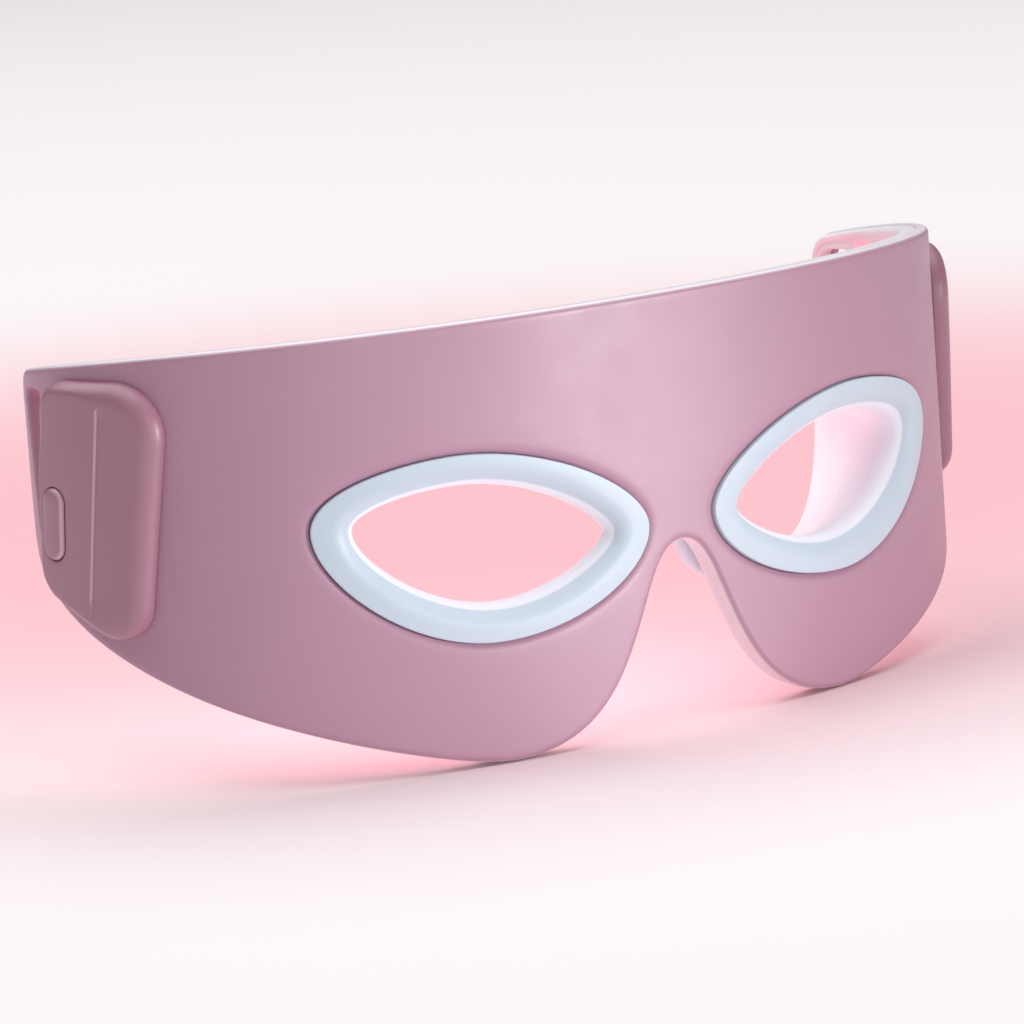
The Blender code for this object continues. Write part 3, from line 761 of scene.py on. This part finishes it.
def filleted(corners, cuts):
    """Loops of a section with each corner made a curve; cuts are (how far back, how far on, steps)."""
    count = len(corners)
    loops = []
    for k, (back, ahead, steps) in enumerate(cuts):
        here, last, after = corners[k], corners[k - 1], corners[(k + 1) % count]
        to_last, to_next = last - here, after - here
        far_last = np.linalg.norm(to_last, axis=1, keepdims=True)
        far_next = np.linalg.norm(to_next, axis=1, keepdims=True)
        start = here + to_last / far_last * np.minimum(back, far_last * 0.45)
        end = here + to_next / far_next * np.minimum(ahead, far_next * 0.45)
        for j in range(steps + 1):
            t = j / steps if steps else 0.5
            loops.append((1 - t) ** 2 * start + 2 * t * (1 - t) * here + t**2 * end)
    return loops


def eye_shield(side, name):
    outer, inner = almond(EYE_OUTER, SHIELD_STEPS), almond(EYE_INNER, SHIELD_STEPS)
    rear_in, rear_out = almond(REAR_INNER, SHIELD_STEPS), almond(REAR_OUTER, SHIELD_STEPS)

    def front(outline, grow, d):
        points = outline + outward(outline) * grow
        return wrap(np.column_stack([points, np.full(len(points), d)]))

    def rear(outline, grow, back):
        points = outline + outward(outline) * grow
        return np.column_stack([points[:, 0], rear_y(points[:, 0]) + back, points[:, 1]])

    lip = front(inner, 0.0, 2.6)
    rear_edge = rear(rear_in, 0.0, 0.0)
    step = lip * 0.5 + rear_edge * 0.5
    ledge = front(inner, 0.5, 2.6) * 0.48 + rear(rear_in, 0.5, 0.0) * 0.52
    neck = front(inner, 2.8, LINER_BACK + 0.3)
    skirt = rear(rear_out, -0.4, -0.9)
    # The corners of the section, each with its cuts, as filleted() takes them, and how much it glows, a
    # painted glow of the LEDs' light that is most in the tunnel
    section = [
        (front(outer, 0.0, SHELL_BACK + 0.1), (0.1, 0.1, 1), 0.0),
        (front(outer, 0.0, -SHIELD_PROUD), (0.3, 0.3, 4), 0.0),
        (front(inner, 2.7, -SHIELD_PROUD + 0.02), (1.5, 1.8, 8), 0.0),
        (lip, (1.8, 2.4, 7), 0.5),
        (step, (0.5, 0.15, 3), 0.75),
        (ledge, (0.15, 0.5, 3), 0.85),
        (rear_edge, (1.0, 0.9, 6), 0.9),
        (rear(rear_out, 0.0, 0.3), (0.5, 0.3, 3), 0.4),
        (skirt, (0.3, 1.5, 3), 0.4),
        (skirt * 0.5 + neck * 0.5, (2.0, 2.0, 3), 0.4),
        (neck, (0.6, 0.3, 2), 0.4),
        (front(inner, 2.8, 3.6), (0.2, 0.2, 1), 0.0),
        (front(outer, 1.0, 3.4), (0.2, 0.2, 1), 0.0),
        (front(outer, 1.0, SHELL_BACK + 0.35), (0.2, 0.2, 1), 0.0),
    ]
    corners, cuts, glows = zip(*section)
    loops = filleted(corners, cuts)
    count = len(outer)
    points = np.vstack(loops) * [side, 1, 1]
    faces = []
    index = np.arange(len(points)).reshape(len(loops), count)
    for here, last in zip(index, np.roll(index, 1, 0)):
        faces += list(zip(np.roll(last, 1), last, here, np.roll(here, 1)))
    loops_per_corner = [steps + 1 for _, _, steps in cuts]
    glow = np.repeat(np.repeat(glows, loops_per_corner), count)
    return mesh_object(name, points, faces, SHIELD, {"glow": glow})


# Side pods and the button


def groove_distance(points):
    """Signed distance from the groove's line, positive towards the arm's end."""
    along = np.array(GROOVE_TOP) - np.array(GROOVE_LOW)
    along = along / np.hypot(*along)
    offset = points - np.array(GROOVE_LOW)
    return offset[:, 0] * along[1] - offset[:, 1] * along[0]


def groove_points(loops):
    """Points over the pod's front: a plain grid, with rows along the groove."""
    grid = grid_points(loops, 1.2, 2.4, 0.7)
    grid = grid[np.abs(groove_distance(grid) - GROOVE_MIDDLE) > 1.9]
    low, top = np.array(GROOVE_LOW), np.array(GROOVE_TOP)
    along = (top - low) / np.hypot(*(top - low))
    share = np.linspace(-0.02, 1.02, 34)[:, None]
    across = along[::-1] * [1, -1]
    rows = np.vstack([low + (top - low) * share + across * offset for offset in GROOVE_ROWS])
    rows = rows[inside(rows, loops[0])]
    rows = rows[nearest(rows, np.vstack(loops)) > 0.25]
    return np.vstack([grid, rows])


def pod_bevel(width):
    """The bevel's inset, which shrinks towards the arm's end and most of all beside the button."""

    def inset(points):
        rear = smooth((points[:, :1] - 89.0) / 8.0)
        beside_button = smooth((points[:, :1] - 94.5) / 6.0)
        beside_button *= 1 - smooth((np.abs(points[:, 1:] - BUTTON_CENTRE[1]) - 6.5) / 9.0)
        return width * (1 - 0.45 * rear - 0.33 * beside_button)

    return inset


def pod_skin(side, name, hole):
    def density(points):
        return 1.0 + 3.0 * (np.abs(groove_distance(points) - GROOVE_MIDDLE) < 1.8)

    outline = resampled(rounded(POD_CORNERS), 0.9, density)
    over = [
        (POD_BEVEL * (1 - math.sin(t)), -POD_HEIGHT + POD_BEVEL_DEEP * (1 - math.cos(t)))
        for t in quarter_turn(8)
    ]
    profile = [(POD_BEVEL + 0.5, -POD_HEIGHT)] + over + [(0.0, -0.2), (0.25, 0.0)]
    edges = [Boundary(outline, [(pod_bevel(width), depth) for width, depth in profile])]
    if hole:
        width, height = (size + 2 * BUTTON_GAP for size in BUTTON_SIZE)
        opening = pill(width, height, BUTTON_CENTRE, BUTTON_LEAN)
        edge = [(0.3, 0.0), (0.2, 0.02), (0.07, 0.1), (0.0, 0.25), (0.0, 1.9), (0.0, POD_HEIGHT)]
        edge = [(inset, depth - POD_HEIGHT) for inset, depth in edge]
        edges.append(Boundary(resampled(opening, 0.5), edge, hole=True))
    flat, faces = plate(edges, grid=(2.0, 4.0), front_points=groove_points)
    # The groove slopes down gently from the front and rises in a steep wall that faces the front.
    gap = groove_distance(flat[:, :2])
    slope, wall = np.clip(1 + gap / GROOVE_SLOPE, 0, 1) ** 2, np.clip(1 - gap / GROOVE_WALL, 0, 1)
    press = GROOVE_DEEP * np.where(gap < 0, slope, wall)
    press *= smooth((nearest(flat[:, :2], outline) - 3.2) / 1.6) * (flat[:, 2] < -0.9 * POD_HEIGHT)
    flat[:, 2] += press
    # The wall of the groove is a paler line, a painted highlight where the wall faces the light.
    edge = np.clip(1 - np.abs(gap - 0.1) / 0.3, 0, 1) * (press > 0.02)
    return mesh_object(name, wrap(flat * [side, 1, 1]), faces, POD, {"edge": edge})


def button_cap():
    width, height = BUTTON_SIZE
    face = -POD_HEIGHT - BUTTON_PROUD
    outline = resampled(pill(width, height, BUTTON_CENTRE, BUTTON_LEAN), 0.4)
    over = [(0.7 * (1 - math.sin(t)), face + 0.12 + 0.6 * (1 - math.cos(t))) for t in quarter_turn(6)]
    profile = [(1.1, face + 0.06), *over, (0.0, -POD_HEIGHT + 1.0), (0.3, -POD_HEIGHT + 1.0)]
    flat, faces = plate([Boundary(outline, profile)], grid=(0.8, 0.8))
    # The face is slightly domed, and its rim is paler on the side of the nose, a painted highlight where
    # the rim faces the light.
    drop = 0.08 * np.clip(1 - nearest(flat[:, :2], outline) / 2.5, 0, 1)
    flat[:, 2] = np.where(flat[:, 2] < face + 0.1, face + drop, flat[:, 2])
    edge = np.clip(1 - np.abs(nearest(flat[:, :2], outline) - 0.25) / 0.4, 0, 1)
    edge *= (flat[:, 2] < face + 0.7) * np.clip((BUTTON_CENTRE[0] + 0.4 - flat[:, 0]) / 1.2, 0, 1)
    return mesh_object("button_cap", wrap(flat * [-1, 1, 1]), faces, BUTTON, {"edge": edge})


# The redrawn pieces, each in place of a CAD node


def redrawn(obj, cad_node, body):
    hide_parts(cad_node)
    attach(obj, body)


redrawn(outer_shell(), "outer_shell", "mask")
redrawn(inner_liner(), "inner_liner", "mask")
for side, word in ((-1, "right"), (1, "left")):
    redrawn(eye_shield(side, word + "_shield_skin"), word + "_eye_shield", "mask")
for side, pod in ((-1, "control_pod"), (1, "battery_pod")):
    redrawn(pod_skin(side, pod + "_skin", hole=side < 0), pod + "_cover", "mask")
redrawn(button_cap(), "power_button", "button")

# The other pieces are the CAD's, with a finish
finishes = electronics()
for row in frame["record"]["subparts"]:
    look = finishes.get(row["material_slot"])
    if look:
        for slot in frame["nodes"][row["node"]].material_slots:
            slot.material = look
        if not frame["nodes"][row["node"]].material_slots:
            frame["nodes"][row["node"]].data.materials.append(look)


# Stage, lights and camera

# The floor's pink pool, a pool of the LEDs' pink light painted into the floor's colour; its sizes in metres
POOL_CENTRE = (0.12, 0.20, 0.0)
POOL_CORE, POOL_REACH = 0.05, 0.40
PAINTED_POOL_PINK, FLOOR_WHITE = (0.98, 0.54, 0.60), (0.97, 0.94, 0.95)
FLOOR_GAP = 0.0002


def stage():
    floor_look, tree, shader = shader_tree("pale_floor")
    place = node(tree, "ShaderNodeTexCoord").outputs["Object"]
    offset = node(tree, "ShaderNodeVectorMath", {0: place, 1: POOL_CENTRE}, operation="SUBTRACT")
    offset = offset.outputs["Vector"]
    reach = node(tree, "ShaderNodeVectorMath", {0: offset}, operation="LENGTH").outputs["Value"]
    pool = node(
        tree,
        "ShaderNodeMapRange",
        {"Value": reach, "From Min": POOL_CORE, "From Max": POOL_REACH, "To Min": 0.0, "To Max": 1.0},
        interpolation_type="SMOOTHERSTEP",
    ).outputs["Result"]
    # Painted light: the pink pool of LED light round the mask fades out to the plain pale floor.
    tree.links.new(mixed(tree, pool, PAINTED_POOL_PINK, FLOOR_WHITE), shader.inputs["Base Color"])
    shader.inputs["Roughness"].default_value = 0.85
    bm = bmesh.new()
    bmesh.ops.create_grid(bm, x_segments=8, y_segments=8, size=6.0)
    mesh = bpy.data.meshes.new("floor")
    bm.to_mesh(mesh)
    bm.free()
    floor = bpy.data.objects.new("floor", mesh)
    floor.location.z = CAD_BOX[0][2] - FLOOR_GAP
    mesh.materials.append(floor_look)
    bpy.context.scene.collection.objects.link(floor)

    world = bpy.data.worlds.new("studio")
    world.use_nodes = True
    sky = world.node_tree.nodes["Background"]
    sky.inputs["Color"].default_value = (1.0, 0.97, 0.98, 1.0)
    sky.inputs["Strength"].default_value = 0.15
    bpy.context.scene.world = world


def add_light(name, kind, power, place, aim=None, colour=(1.0, 1.0, 1.0), **settings):
    light = bpy.data.lights.new(name, kind)
    light.energy = power
    light.color = colour
    for key, value in settings.items():
        setattr(light, key, value)
    obj = bpy.data.objects.new(name, light)
    obj.location = place
    if aim:
        obj.rotation_euler = (Vector(aim) - Vector(place)).to_track_quat("-Z", "Y").to_euler()
    bpy.context.scene.collection.objects.link(obj)


def softbox(name, power, place, aim, size):
    add_light(name, "AREA", power, place, aim, shape="RECTANGLE", size=size[0], size_y=size[1])


def studio():
    """A soft light in front, a narrow one for the band's sheen, a wide ceiling and the LEDs' pink light."""
    softbox("front", 3.2, (-0.2, -1.3, 0.15), (0.0, 0.0, 0.0), (0.45, 0.9))
    add_light(
        "gloss",
        "SPOT",
        27.0,
        (0.50, -0.87, 0.03),
        (-0.022, -0.006, -0.01),
        spot_size=math.radians(13.0),
        spot_blend=1.0,
        shadow_soft_size=0.07,
    )
    softbox("top", 58.0, (0.0, 0.5, 1.8), (0.0, 0.5, 0.0), (3.2, 3.2))
    add_light("leds", "POINT", 0.022, (0.0, 0.035, 0.0), colour=(1.0, 0.25, 0.35), shadow_soft_size=0.02)


def camera():
    """A long lens in front, on the wearer's right, that looks slightly down."""
    data = bpy.data.cameras.new("camera")
    data.sensor_width = 36.0
    data.lens = 201.47
    data.clip_start, data.clip_end = 0.05, 20.0
    obj = bpy.data.objects.new("camera", data)
    right = Vector((0.79345715, -0.60443389, -0.07131212))
    up = Vector((0.15871268, 0.09237123, 0.98299432))
    ahead = Vector((0.5875679, 0.79128202, -0.16922393))
    place = Vector((-0.530813, -0.676813, 0.148810))
    turn = Matrix((right, up, -ahead)).transposed().to_4x4()
    obj.matrix_world = Matrix.Translation(place) @ turn
    bpy.context.scene.collection.objects.link(obj)
    bpy.context.scene.camera = obj


stage()
studio()
camera()
bpy.context.scene.view_settings.view_transform = "Standard"
